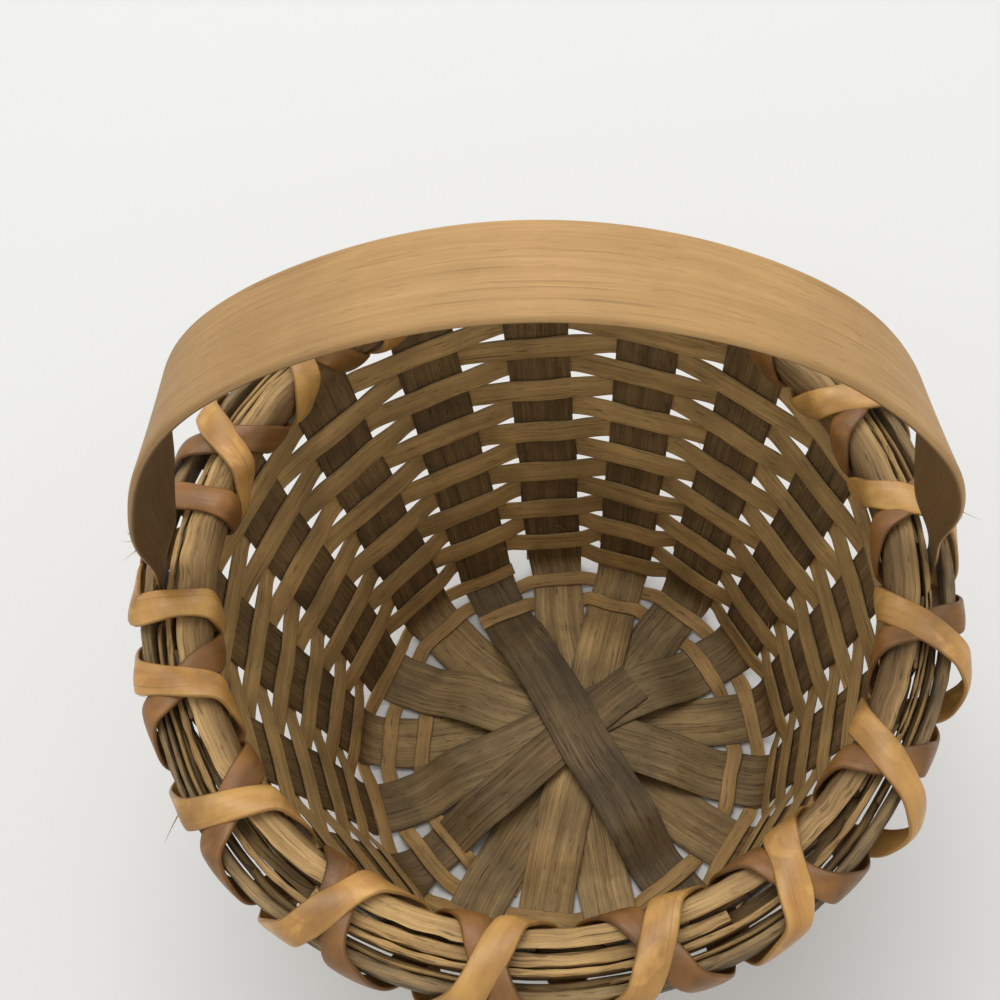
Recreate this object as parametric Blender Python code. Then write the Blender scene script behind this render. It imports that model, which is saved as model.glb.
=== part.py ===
"""A small splint berry basket with a lashed rim and a fixed bent-wood handle.

Eight long flat splints cross at the middle of the base, and a ninth, half as
long, starts there.  Turned up, their ends are seventeen stakes.  The number is
odd, so weavers that follow one another in a spiral pass outside and inside
the stakes in turn.  Hoops clamp the stakes at the rim, two flat strips lash
the hoops together in a row of crosses, and the handle's tapered feet stand
between the two outer hoops.

Metres, +Z up.  The base stands on z = 0 with its middle at the origin, and
the handle spans X.
"""
import math

import bmesh
import bpy
import numpy as np

for thing in list(bpy.data.objects):
    bpy.data.objects.remove(thing, do_unlink=True)

# The basket as a whole
rim_inner_radius = 0.0741
rim_height = 0.120
handle_top_height = 0.217
joint_gap = 0.0003
tau = 2 * math.pi

# Splints, which are base spokes and stakes in one
stake_count = 17
long_splints = "abcdefgh"
half_splint_stake = 12
handle_stake = 14
handle_stake_turn = math.radians(-2.9)
splint_width = 0.0160
base_splint_width = 0.0146
half_splint_base_width = 0.0118
splint_thickness = 0.0007
stake_top_below_rim = 0.001
half_splint_tail = 0.0255

# The pile of splints at the middle: the level each lies at, bottom first
level_order = "hfdbcgexa"
lower_layer = "hfdb"
upper_layer = "cgea"
lower_pile_reach = 0.027
upper_pile_reach = 0.029
pile_fall = 0.013
layer_fall = 0.0024

# The narrow weaver on the base and the turn of the splints into the wall
base_weaver_width = 0.0042
base_weaver_thickness = 0.0008
base_weaver_start = 0.0446
base_weaver_pitch = 0.0068
base_weaver_rounds = 2
base_edge_overhang = 0.0002
turn_start = 0.0515
turn_radius = 0.0066
wall_foot_angle = math.radians(84)
turn_steps = 9
wall_steps = 12
wall_table_steps = 241

# The wall weavers, whose width follows from the wall's height
weaver_count = 12
weaver_thickness = 0.0008
row_gap = 0.0005
first_row_drop = 0.0035
weaver_reach = 18
first_wall_pass = 35
edge_overhang = 0.0004

# The rim, from the inside out
hoop_height = 0.009
inner_hoop_thickness = 0.0026
inner_hoop_belly = 0.0035
inner_hoop_round = 0.0026
filler_thickness = 0.0026
filler_height = 0.0055
middle_hoop_thickness = 0.0013
middle_hoop_height = 0.0050
outer_hoop_thickness = 0.0026
outer_hoop_height = 0.0065
hoop_chamfer = 0.0008
scarf_tip = 0.0004
hoop_steps = 60
scarf_steps = 4
filler_from = math.radians(-124)
filler_to = math.radians(-66)
filler_steps = 10
swell_ramp = math.radians(35)

# The lashing strips
lashing_thickness = 0.0009
lashing_width_share = 0.57
lashing_slack = 0.0003
lashing_chamfer = 0.0007
lashing_bow = 0.0004
foot_wrap_share = 0.07
loose_wrap_bulge = 0.0055
loose_wraps = (6,)
section_across = np.array((0, -1, -1, -1, -1, -1, 0, 1, 1, 1, 1, 1))
section_upward = np.array((-1, -1, -1, 0, 1, 1, 1, 1, 1, 0, -1, -1))
section_trims_across = np.array((0, 1, 0, 0, 0, 1, 0, 1, 0, 0, 0, 1), dtype=bool)

# The handle
handle_width = 0.0185
handle_thickness = 0.0018
handle_chamfer = 0.0006
handle_tip_width = 0.0050
handle_taper_length = 0.045
handle_arch_steps = 32
handle_leg_steps = 5

# Places that follow from the sizes above
stake_step = tau / stake_count
layer_pitch = splint_thickness + joint_gap
base_level = base_weaver_thickness + joint_gap + splint_thickness / 2
pile_floor = joint_gap + splint_thickness / 2
turn_end = turn_start + turn_radius * wall_foot_angle
stake_mid_radius = rim_inner_radius + inner_hoop_thickness + joint_gap + splint_thickness / 2
stake_edge_radius = math.hypot(stake_mid_radius + splint_thickness / 2, splint_width / 2)
filler_inner = stake_edge_radius + joint_gap
middle_inner = filler_inner
slot_inner = middle_inner + middle_hoop_thickness + joint_gap
slot_outer = slot_inner + handle_thickness
outer_inner = slot_outer + joint_gap
rim_outer_radius = outer_inner + outer_hoop_thickness
hoop_bottom = rim_height - hoop_height
hoop_middle = rim_height - hoop_height / 2


def wood(name, colour, roughness):
    """A matt split-wood material in one colour."""
    material = bpy.data.materials.new(name)
    material.use_nodes = True
    shader = material.node_tree.nodes["Principled BSDF"]
    shader.inputs["Base Color"].default_value = (*colour, 1)
    shader.inputs["Roughness"].default_value = roughness
    shader.inputs["Metallic"].default_value = 0
    return material


splint_wood = wood("splint_wood", (0.150, 0.105, 0.055), 0.75)
weaver_wood = wood("weaver_wood", (0.205, 0.140, 0.068), 0.70)
base_weaver_wood = wood("base_weaver_wood", (0.290, 0.160, 0.060), 0.65)
hoop_wood = wood("hoop_wood", (0.420, 0.270, 0.120), 0.65)
outer_hoop_wood = wood("outer_hoop_wood", (0.200, 0.140, 0.075), 0.75)
handle_wood = wood("handle_wood", (0.520, 0.330, 0.150), 0.55)
light_bark = wood("light_bark", (0.500, 0.230, 0.075), 0.45)
dark_bark = wood("dark_bark", (0.260, 0.105, 0.045), 0.45)


def sweep(name, rings, material, smooth=False):
    """One closed body from rings of corners, shaped (ring, corner, xyz)."""
    ring_count, corner_count = rings.shape[:2]
    mesh = bmesh.new()
    verts = [[mesh.verts.new(corner) for corner in ring] for ring in rings]
    for here, there in zip(verts[:-1], verts[1:]):
        for corner in range(corner_count):
            after = (corner + 1) % corner_count
            mesh.faces.new((here[corner], here[after], there[after], there[corner]))
    mesh.faces.new(verts[0])
    mesh.faces.new(verts[ring_count - 1])
    bmesh.ops.recalc_face_normals(mesh, faces=mesh.faces)
    data = bpy.data.meshes.new(name)
    mesh.to_mesh(data)
    mesh.free()
    data.materials.append(material)
    if smooth:
        data.shade_smooth()
        data.set_sharp_from_angle(angle=math.radians(40))
    thing = bpy.data.objects.new(name, data)
    bpy.context.scene.collection.objects.link(thing)
    return thing


def strip_rings(middle, across, outward, width, thickness):
    """Flat sections: each middle point, half a width and half a thickness each way."""
    side = across * np.reshape(width, (-1, 1)) / 2
    skin = outward * thickness / 2
    corners = (middle - side - skin, middle + side - skin, middle + side + skin, middle - side + skin)
    return np.stack(corners, axis=1)


def arc_point(start, slope, turn, length, run):
    """A point run along an arc that leaves start at slope and turns evenly by turn."""
    half = turn * run / length / 2
    chord = run * np.sinc(half / math.pi)
    return start[0] + chord * np.cos(slope + half), start[1] + chord * np.sin(slope + half)


turn_exit = arc_point((turn_start, base_level), 0, wall_foot_angle, turn_end - turn_start,
                      turn_end - turn_start)
rim_entry = (stake_mid_radius, hoop_bottom - joint_gap)
wall_rise, wall_flare = rim_entry[1] - turn_exit[1], rim_entry[0] - turn_exit[0]
wall_share = np.linspace(0, 1, wall_table_steps)
wall_heights = turn_exit[1] + wall_rise * wall_share
wall_radii = (turn_exit[0] + wall_flare * wall_share * wall_share * (3 - 2 * wall_share)
              + wall_rise / math.tan(wall_foot_angle) * wall_share * (1 - wall_share) ** 2)
wall_slopes = np.arctan2(np.gradient(wall_heights), np.gradient(wall_radii))
wall_runs = turn_end + np.concatenate(([0], np.cumsum(np.hypot(np.diff(wall_radii),
                                                               np.diff(wall_heights)))))
wall_end = wall_runs[-1]
stake_end = wall_end + rim_height - stake_top_below_rim - rim_entry[1]


def stake_profile(run):
    """Radius, height and slope of a stake's middle, run metres from the base's middle.

    Flat to turn_start, then an even turn up to the foot angle, then a wall
    that flares most at half height and comes upright at the rim.
    """
    run = np.asarray(run, dtype=float)
    in_turn = np.clip(run, turn_start, turn_end) - turn_start
    turn_length = turn_end - turn_start
    radius, height = arc_point((turn_start, base_level), 0, wall_foot_angle, turn_length, in_turn)
    radius = radius + np.minimum(run - turn_start, 0)
    slope = wall_foot_angle * in_turn / turn_length
    on_wall = run > turn_end
    radius = np.where(on_wall, np.interp(run, wall_runs, wall_radii), radius)
    height = np.where(on_wall, np.interp(run, wall_runs, wall_heights), height)
    height = height + np.maximum(run - wall_end, 0)
    slope = np.where(on_wall, np.interp(run, wall_runs, wall_slopes), slope)
    return radius, height, slope


def stake_angle(stake):
    """Stakes count clockwise from above, and handle_stake stands by the foot at minus X."""
    return math.pi + handle_stake_turn + (handle_stake - stake) * stake_step


def outward_at(angle):
    """Unit vectors away from the basket's axis."""
    return np.stack((np.cos(angle), np.sin(angle), np.zeros_like(angle)), axis=-1)


def around_at(angle):
    """Unit vectors that run round the basket, anticlockwise from above."""
    return np.stack((-np.sin(angle), np.cos(angle), np.zeros_like(angle)), axis=-1)


def fall(run, start, length):
    """One up to start, then an S curve down to nought over length."""
    share = np.clip((run - start) / length, 0, 1)
    return 1 - share * share * (3 - 2 * share)


def splint_width_at(run, base_width=base_splint_width):
    """Splints are trimmed a little narrower on the base, where they crowd together."""
    widening = 1 - fall(run, turn_start, turn_end - turn_start)
    return base_width + (splint_width - base_width) * widening


pile_end = base_weaver_start - base_weaver_width / 2
layer_start = pile_end - layer_fall
lashing_room = lashing_slack + 3 * joint_gap + 2 * lashing_thickness + lashing_bow
weave_start = turn_end - first_row_drop
woven_length = np.interp(hoop_bottom - lashing_room, wall_heights, wall_runs) - weave_start
wall_rounds = weaver_count * weaver_reach / stake_count
weaver_pitch = (woven_length + row_gap - 2 * joint_gap) / (wall_rounds + 1)
weaver_width = weaver_pitch - row_gap


def pile_height(letter, run):
    """Height of a splint above its own level, where the splints cross in a pile."""
    if letter in lower_layer:
        layer, reach = -layer_pitch / 2, lower_pile_reach
    elif letter in upper_layer:
        layer, reach = layer_pitch / 2, upper_pile_reach
    else:
        layer, reach = layer_pitch * 3 / 2, upper_pile_reach
    level = pile_floor + level_order.index(letter) * layer_pitch
    pile = level - base_level - layer
    run = np.abs(run)
    return layer * fall(run, layer_start, layer_fall) + pile * fall(run, reach, pile_fall)


flat_runs = np.concatenate(([0], np.linspace(lower_pile_reach, layer_start, 7), [pile_end]))
stake_runs = np.concatenate((np.linspace(turn_start, turn_end, turn_steps),
                             np.linspace(turn_end, wall_end, wall_steps)[1:],
                             [wall_end + joint_gap, stake_end]))


def half_path(letter, stake, middle, runs):
    """Middle line, width and outer directions of a splint from its middle to a stake's top."""
    angle = stake_angle(stake)
    radius, height, slope = stake_profile(runs)
    outward, around = outward_at(angle), around_at(angle)
    foot = pile_end * outward
    flat = middle + (foot - middle) * (runs / pile_end)[:, None]
    line = np.where((runs < pile_end)[:, None], flat, radius[:, None] * outward)
    line[:, 2] = height + pile_height(letter, runs)
    chord = (foot - middle) / np.linalg.norm(foot - middle)
    chord_side = np.array((-chord[1], chord[0], 0))
    across = np.where((runs < pile_end)[:, None], chord_side, around)
    skin = np.sin(slope)[:, None] * outward - np.cos(slope)[:, None] * np.array((0, 0, 1))
    return line, across, skin


def long_splint(letter, number):
    """A splint from rim to rim: two stakes and the straight base run between them."""
    first = number
    second = number + len(long_splints) + (number + len(long_splints) >= half_splint_stake)
    feet = [pile_end * outward_at(stake_angle(stake)) for stake in (first, second)]
    middle = (feet[0] + feet[1]) / 2
    runs = np.concatenate((flat_runs, stake_runs))
    line_a, across_a, skin_a = half_path(letter, first, middle, runs)
    line_b, across_b, skin_b = half_path(letter, second, middle, runs)
    line = np.concatenate((line_a[::-1], line_b[1:]))
    across = np.concatenate((-across_a[::-1], across_b[1:]))
    skin = np.concatenate((skin_a[::-1], skin_b[1:]))
    width = splint_width_at(np.concatenate((runs[::-1], runs[1:])))
    rings = strip_rings(line, across, skin, width, splint_thickness)
    return sweep("base_splint_" + letter, rings, splint_wood)


def half_splint():
    """The odd stake: it ends just past the middle, under the top splint."""
    tail_runs = -np.array((half_splint_tail, half_splint_tail / 2))
    runs = np.concatenate((tail_runs, flat_runs, stake_runs))
    line, across, skin = half_path("x", half_splint_stake, np.zeros(3), runs)
    width = splint_width_at(runs, half_splint_base_width)
    rings = strip_rings(line, across, skin, width, splint_thickness)
    return sweep("half_splint", rings, splint_wood)


def weave(name, passes, first_run, pitch, width, thickness, overhang, material, lapped_end=False):
    """A flat strip woven round the stakes named by passes, climbing by pitch each round.

    Even passes lie inside their stake and odd ones outside.  On each stake the
    strip is flat, on the line between the stake's points under its two edges,
    and nothing goes below the plane that the basket stands on.
    """
    passes = np.asarray(passes)
    stakes = np.repeat(passes, 2)
    angle = stake_angle(stakes)
    run = first_run + pitch * (stakes - passes[0]) / stake_count
    shift = np.tile((-1, 1), len(passes)) * (splint_width_at(run) / 2 + overhang)
    offset = (splint_thickness + thickness) / 2 + joint_gap
    side = np.where(stakes % 2, offset, -offset)
    if lapped_end:
        side[-2:] += thickness + joint_gap
    radius, height, _ = stake_profile(run)
    low_radius, low_height, _ = stake_profile(run - width / 2)
    high_radius, high_height, _ = stake_profile(run + width / 2)
    slope = np.arctan2(high_height - low_height, high_radius - low_radius)
    radius = np.where(stakes % 2, radius, (low_radius + high_radius) / 2)
    height = np.where(stakes % 2, height, (low_height + high_height) / 2)
    outward, around = outward_at(angle), around_at(angle)
    up = np.array((0, 0, 1))
    skin = np.sin(slope)[:, None] * outward - np.cos(slope)[:, None] * up
    climb = np.cos(slope)[:, None] * outward + np.sin(slope)[:, None] * up
    line = radius[:, None] * outward + height[:, None] * up + side[:, None] * skin
    line = line - shift[:, None] * around
    rings = strip_rings(line, climb, skin, width, thickness)
    rings[..., 2] = np.maximum(rings[..., 2], 0)
    return sweep(name, rings, material)


def base_weaver():
    """The narrow weaver that holds the splints flat on the base, in two rounds."""
    passes = range(base_weaver_rounds * stake_count + 1)
    return weave("base_weaver", passes, base_weaver_start, base_weaver_pitch, base_weaver_width,
                 base_weaver_thickness, base_edge_overhang, base_weaver_wood)


def wall_weavers():
    """The wall's weavers, each one stake longer than a round, laid end over end."""
    start = weave_start + weaver_width / 2 + joint_gap
    for number in range(weaver_count):
        first = first_wall_pass + number * weaver_reach
        run = start + weaver_pitch * number * weaver_reach / stake_count
        lapped = number < weaver_count - 1
        passes = range(first, first + weaver_reach + lapped)
        weave(f"wall_weaver_{number + 1:02d}", passes, run, weaver_pitch, weaver_width,
              weaver_thickness, edge_overhang, weaver_wood, lapped_end=lapped)


def swell(angle):
    """How far the outer sticks bow out round the filler stick, easing off past its ends."""
    middle = (filler_from + filler_to) / 2
    away = np.abs((angle - middle + math.pi) % tau - math.pi)
    return (filler_thickness + joint_gap) * fall(away, (filler_to - filler_from) / 2, swell_ramp)


def belly(angle):
    """How far the inner hoop's face bows inwards, from nothing at the front to most at the feet."""
    return inner_hoop_belly * np.cos(angle) ** 2


def bar_rings(angles, inner, outer, bottom, top, chamfer, inside_round=0):
    """Upright sections with trimmed corners round the basket's axis.

    inside_round trims the two corners that face the axis more than the others.
    """
    trim = np.minimum(chamfer, (outer - inner) / 3)
    rounding = np.maximum(trim, np.minimum(inside_round, (outer - inner) / 2))
    near, far = inner + rounding, outer - trim
    flat_low, flat_high = bottom + 0 * trim, top + 0 * trim
    section = ((near, flat_low), (far, flat_low), (outer, bottom + trim), (outer, top - trim),
               (far, flat_high), (near, flat_high), (inner, top - rounding),
               (inner, bottom + rounding))
    corners = [radius[:, None] * outward_at(angles) + height[:, None] * np.array((0, 0, 1))
               for radius, height in section]
    return np.stack(corners, axis=1)


def hoop(name, inner, thickness, bottom, height, start, material, inside=False):
    """A bent stick all round, its two ends cut thin and lapped in a scarf.

    The one inside the stakes is half round and has a belly.  The others bow
    out round the filler stick.
    """
    steps = np.arange(hoop_steps + scarf_steps + 1)
    angles = start + steps * tau / hoop_steps
    inner = inner + (-belly(angles) if inside else swell(angles))
    thickness = thickness + inside * belly(angles)
    wedge = thickness - joint_gap - 2 * scarf_tip
    from_start = np.clip(steps / scarf_steps, 0, 1)
    from_end = np.clip((steps - hoop_steps) / scarf_steps, 0, 1)
    thin_start = inner + scarf_tip + wedge * from_start
    thin_end = inner + scarf_tip + joint_gap + wedge * from_end
    outer_face = np.where(steps <= scarf_steps, thin_start, inner + thickness)
    inner_face = np.where(steps >= hoop_steps, thin_end, inner)
    rings = bar_rings(angles, inner_face, outer_face, bottom, bottom + height, hoop_chamfer,
                      inside * inner_hoop_round)
    return sweep(name, rings, material, smooth=True)


def filler_stick():
    """A short spare stick that packs out the front of the rim."""
    angles = np.linspace(filler_from, filler_to, filler_steps + 1)
    inner = np.full(len(angles), filler_inner)
    bottom = hoop_middle - filler_height / 2
    rings = bar_rings(angles, inner, inner + filler_thickness, bottom, bottom + filler_height,
                      hoop_chamfer)
    return sweep("front_filler_stick", rings, hoop_wood, smooth=True)


def lashing_section(depth):
    """Points round the hoops, depth metres out from them, from below the rim's middle.

    A box with trimmed corners, its four sides bowed a little.  It is listed
    from the bottom, up the inside, over the top and down the outside.
    """
    trim = lashing_chamfer + depth * (2 - math.sqrt(2))
    on_flat = np.abs(section_across) + np.abs(section_upward) == 2
    flat_side = on_flat & section_trims_across
    tall_side = on_flat & ~section_trims_across
    half_width = (rim_outer_radius - rim_inner_radius) / 2 + depth
    half_height = hoop_height / 2 + depth
    radius = ((rim_outer_radius + rim_inner_radius) / 2 + section_across
              * (half_width - trim * flat_side + lashing_bow * (section_upward == 0)))
    height = (hoop_middle + section_upward
              * (half_height - trim * tall_side + lashing_bow * (section_across == 0)))
    return radius, height


def lashing(name, direction, depth, foot_wrap, material):
    """A flat strip wound round the rim, one wrap for each stake, through the gaps below.

    At the handle's foot the wrap goes straight up inside and crosses over on
    the outside, so it clears the foot.
    """
    inner_radius, inner_height = lashing_section(depth)
    outer_radius, outer_height = lashing_section(depth + lashing_thickness)
    closed_radius = np.append(inner_radius, inner_radius[0])
    closed_height = np.append(inner_height, inner_height[0])
    lengths = np.hypot(np.diff(closed_radius), np.diff(closed_height))
    share = np.concatenate(([0], np.cumsum(lengths)[:-1])) / lengths.sum()
    point_count = len(section_across)
    point = np.tile(np.arange(point_count), stake_count)
    wrap = np.repeat(np.arange(stake_count), point_count)
    advance = share[point]
    outer_side = np.flatnonzero((section_across == 1) & (section_upward == 0))[0]
    foot_advance = np.interp(advance, (0, share[outer_side - 1], 1), (0, foot_wrap_share, 1))
    advance = np.where(wrap == foot_wrap, foot_advance, advance)
    gap_angle = stake_angle(0) - stake_step / 2
    middle_angle = gap_angle - direction * stake_step * (wrap + advance)
    stake_gap = stake_step * stake_mid_radius - splint_width
    half_angle = lashing_width_share * stake_gap / stake_mid_radius / 2
    is_loose = np.isin(wrap, loose_wraps) & (direction > 0) & (point == outer_side)
    corners = []
    for radius, height, side in ((inner_radius, inner_height, -1), (inner_radius, inner_height, 1),
                                 (outer_radius, outer_height, 1), (outer_radius, outer_height, -1)):
        angle = middle_angle + side * half_angle
        outward = outward_at(angle)
        outside_share = (1 + section_across[point]) / 2
        bow = swell(angle) * outside_share - belly(angle) * (1 - outside_share)
        reach = radius[point] + bow + loose_wrap_bulge * is_loose
        corners.append(reach[:, None] * outward + height[point][:, None] * np.array((0, 0, 1)))
    return sweep(name, np.stack(corners, axis=1), material)


def lashings():
    """The dark strip lies on the hoops, and the light one crosses over it the other way."""
    first_depth = joint_gap + lashing_slack
    second_depth = first_depth + lashing_thickness + joint_gap
    lashing("lashing_dark", -1, first_depth, stake_count - handle_stake, dark_bark)
    lashing("lashing_light", 1, second_depth, handle_stake - 1, light_bark)


def handle_band():
    """A bent band, half an ellipse on straight legs that taper to their tips."""
    leg_radius = slot_inner + handle_thickness / 2
    rise = handle_top_height - handle_thickness / 2 - rim_height
    turn = np.linspace(0, math.pi, handle_arch_steps + 1)
    arch = np.stack((leg_radius * np.cos(turn), 0 * turn, rim_height + rise * np.sin(turn)), axis=1)
    slope = np.stack((rise * np.cos(turn), 0 * turn, leg_radius * np.sin(turn)), axis=1)
    skin = slope / np.linalg.norm(slope, axis=1)[:, None]
    tip_height = hoop_bottom + hoop_chamfer
    leg = np.zeros((handle_leg_steps, 3))
    leg[:, 0] = leg_radius
    leg[:, 2] = np.linspace(tip_height, rim_height, handle_leg_steps + 1)[:-1]
    leg_skin = np.tile((1, 0, 0), (handle_leg_steps, 1))
    mirror = np.array((-1, 1, 1))
    line = np.concatenate((leg, arch, (leg * mirror)[::-1]))
    skin = np.concatenate((leg_skin, skin, leg_skin * mirror))
    rise_share = np.clip((line[:, 2] - tip_height) / handle_taper_length, 0, 1)
    blend = rise_share * rise_share * (3 - 2 * rise_share)
    half_width = (handle_tip_width + (handle_width - handle_tip_width) * blend) / 2
    half_thick, trim = handle_thickness / 2, handle_chamfer
    section = ((-half_thick, trim - half_width), (trim - half_thick, -half_width),
               (half_thick - trim, -half_width), (half_thick, trim - half_width),
               (half_thick, half_width - trim), (half_thick - trim, half_width),
               (trim - half_thick, half_width), (-half_thick, half_width - trim))
    side = np.array((0, 1, 0))
    corners = [line + skin * depth + np.multiply.outer(wide, side) for depth, wide in section]
    return sweep("handle_band", np.stack(corners, axis=1), handle_wood, smooth=True)


for number, letter in enumerate(long_splints):
    long_splint(letter, number)
half_splint()
base_weaver()
wall_weavers()
hoop("inner_hoop", rim_inner_radius, inner_hoop_thickness, hoop_bottom, hoop_height,
     math.radians(60), hoop_wood, inside=True)
filler_stick()
hoop("middle_hoop", middle_inner, middle_hoop_thickness, hoop_middle - middle_hoop_height / 2,
     middle_hoop_height, math.radians(-30), hoop_wood)
hoop("outer_hoop", outer_inner, outer_hoop_thickness, hoop_middle - outer_hoop_height / 2,
     outer_hoop_height, math.radians(200), outer_hoop_wood)
lashings()
handle_band()
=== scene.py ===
# %% [markdown]
# # A small splint berry basket
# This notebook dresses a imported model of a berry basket: split-wood splints cross on the base and
# turn up into stakes, weavers climb round them in a spiral, bent sticks clamp the rim, two bark
# strips lash it, and a wide band makes the handle.  Every piece is worked out with numpy as a
# profile carried along a path, on the same lines as the model, and gets its own wood finish.

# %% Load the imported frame
import math

import bpy
import numpy as np
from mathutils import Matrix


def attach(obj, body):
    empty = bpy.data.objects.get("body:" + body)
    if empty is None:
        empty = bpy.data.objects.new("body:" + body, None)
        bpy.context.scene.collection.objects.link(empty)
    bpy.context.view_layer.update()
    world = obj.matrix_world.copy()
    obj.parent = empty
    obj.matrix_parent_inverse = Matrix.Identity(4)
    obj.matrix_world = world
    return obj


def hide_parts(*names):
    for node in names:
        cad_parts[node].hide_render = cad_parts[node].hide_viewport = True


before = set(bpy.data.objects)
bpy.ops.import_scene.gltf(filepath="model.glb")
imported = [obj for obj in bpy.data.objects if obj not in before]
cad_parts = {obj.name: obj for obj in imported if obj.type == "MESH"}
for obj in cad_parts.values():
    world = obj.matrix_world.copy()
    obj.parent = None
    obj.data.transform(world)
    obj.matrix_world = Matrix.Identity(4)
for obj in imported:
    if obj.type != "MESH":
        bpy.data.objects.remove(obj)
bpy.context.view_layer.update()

# %% [markdown]
# ## The sizes of the basket
# All lengths are metres, with +Z up and the middle of the base at the origin.  They repeat the
# sizes of the model, so each new piece lies where the solid that it replaces lies.

# %% Sizes that the pieces share
tau = 2 * math.pi
joint_gap = 0.0003
rim_inner_radius, rim_height, hoop_height = 0.0741, 0.120, 0.009
stake_count, half_splint_stake, handle_stake = 17, 12, 14
stake_step = tau / stake_count
handle_stake_turn = math.radians(-2.9)
splint_width, base_splint_width, splint_thickness = 0.0160, 0.0146, 0.0007
half_splint_base_width, half_splint_tail = 0.0118, 0.0255
base_weaver_width, base_weaver_thickness = 0.0042, 0.0008
base_weaver_start, base_weaver_pitch, base_weaver_rounds = 0.0446, 0.0068, 2
inner_hoop_thickness, middle_hoop_thickness, outer_hoop_thickness = 0.0026, 0.0013, 0.0026
inner_hoop_belly = 0.0035
handle_thickness = 0.0018
hoop_bottom = rim_height - hoop_height
hoop_middle = rim_height - hoop_height / 2
stake_mid_radius = rim_inner_radius + inner_hoop_thickness + joint_gap + splint_thickness / 2
up = np.array((0.0, 0.0, 1.0))
print("one stake every", round(stake_step * stake_mid_radius * 1000, 1), "mm at the rim")

# %% [markdown]
# ## Helpers: smooth steps and a hand's unevenness
# Split wood is never quite even.  `wander` adds a few long sine waves whose phases come from a
# seeded generator, so a strip's edge drifts by a fraction of a millimetre and every run of the
# script gives the same basket.

# %% Small curves used all over
def fall(run, start, length):
    """One up to start, then 1 - s*s*(3 - 2s) down to nought, s being the share of length."""
    share = np.clip((run - start) / length, 0, 1)
    return 1 - share * share * (3 - 2 * share)


def wander(along, seed, wave):
    """Mean of five sines of along / wave, at seeded pitches and phases: smooth, about -1 to 1."""
    rng = np.random.default_rng(seed)
    pitch = rng.uniform(0.6, 2.2, 5)
    phase = rng.uniform(0, tau, 5)
    return np.sin(np.multiply.outer(along / wave, pitch) * tau + phase).mean(axis=-1) * 1.6


def outward_at(angle):
    """Unit vectors (cos, sin, 0), away from the basket's axis."""
    return np.stack((np.cos(angle), np.sin(angle), 0 * angle), axis=-1)


def around_at(angle):
    """Unit vectors (-sin, cos, 0), round the basket."""
    return np.stack((-np.sin(angle), np.cos(angle), 0 * angle), axis=-1)


def place_at(angle, radius, height):
    """Points at an angle, a radius and a height round the axis."""
    return np.asarray(radius)[..., None] * outward_at(angle) + np.asarray(height)[..., None] * up


def unit(vectors):
    """Each row divided by its length."""
    return vectors / np.linalg.norm(vectors, axis=-1, keepdims=True)


# %% [markdown]
# ## Helpers: a path made even and soft
# The model's weavers are straight from stake to stake.  Real ones spring, so their corners are
# round.  `carry` walks along the broken line in even steps and takes a moving average, which
# rounds each corner and leaves the straight parts where they are.

# %% Walk a broken line in even steps
def carry(points, wides, step, reach):
    """Even steps along a broken line, then a Hann-weighted mean over reach metres.

    The line is carried on past both ends by mirroring it through its end points, so the
    ends stay where they are.  The width directions go through the same mean.
    """
    lengths = np.linalg.norm(np.diff(points, axis=0), axis=1)
    run = np.concatenate(([0], np.cumsum(lengths)))
    count = int(run[-1] / step) + 1
    along = np.linspace(0, run[-1], count)
    both = np.hstack((points, wides))
    even = np.stack([np.interp(along, run, column) for column in both.T], axis=1)
    half = max(1, int(reach / step / 2))
    weights = np.hanning(2 * half + 3)[1:-1]
    weights /= weights.sum()
    before = 2 * even[0] - even[half:0:-1]
    after = 2 * even[-1] - even[-2:-half - 2:-1]
    padded = np.concatenate((before, even, after))
    soft = np.stack([np.convolve(column, weights, "valid") for column in padded.T], axis=1)
    return soft[:, :3], soft[:, 3:], along


# %% [markdown]
# ## Helpers: a profile carried along a path
# A strip is a thin section with eased edges.  `strip_profile` lists the section as two arrays:
# how far across (from -1 to 1) and how far through (from -1 to 1).  `strip_rings` puts one such
# section at every step of a path: point = middle + across * wide + through * skin.

# %% Sections and rings
def strip_profile(width, thickness, flats=9, eased=4):
    """A flat section with quarter-ellipse edges, listed once round."""
    edge = min(0.45, thickness / width)
    turn = np.linspace(0, math.pi / 2, eased + 1)
    rise_across = -1 + edge * (1 - np.cos(turn))
    flat = np.linspace(-1 + edge, 1 - edge, flats)[1:-1]
    across = np.concatenate((rise_across, flat, -rise_across[::-1]))
    through = np.concatenate((np.sin(turn), np.ones(len(flat)), np.sin(turn)[::-1]))
    return (np.concatenate((across, across[-2:0:-1])),
            np.concatenate((through, -through[-2:0:-1])))


def strip_rings(middle, wide, width, thickness, profile, cup=0.0):
    """Sections square to the path.  cup lifts the section's middle by cup * (1 - across^2)."""
    across, through = profile
    tangent = unit(np.gradient(middle, axis=0))
    skin = unit(np.cross(tangent, wide))
    side = np.cross(skin, tangent)
    width = np.broadcast_to(np.reshape(width, (-1, 1)), (len(middle), 1))
    thickness = np.broadcast_to(np.reshape(thickness, (-1, 1)), (len(middle), 1))
    lift = thickness / 2 * through + np.reshape(cup, (-1, 1)) * (1 - across ** 2)
    return (middle[:, None] + (width / 2 * across)[..., None] * side[:, None]
            + lift[..., None] * skin[:, None])


# %% [markdown]
# ## Helper: rings into a Blender mesh
# `make_piece` joins neighbouring rings with quads and closes both ends.  It writes a UV map in
# metres, along the piece and round its section, which the wood grain follows, and a colour
# attribute called tint, which says where the wood is darker, paler or greyer: some of it the
# wood's own colour, some of it painted shade.  It ends with the calls that tie the piece to the
# model.

# %% Build a mesh from rings
made = []


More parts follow.
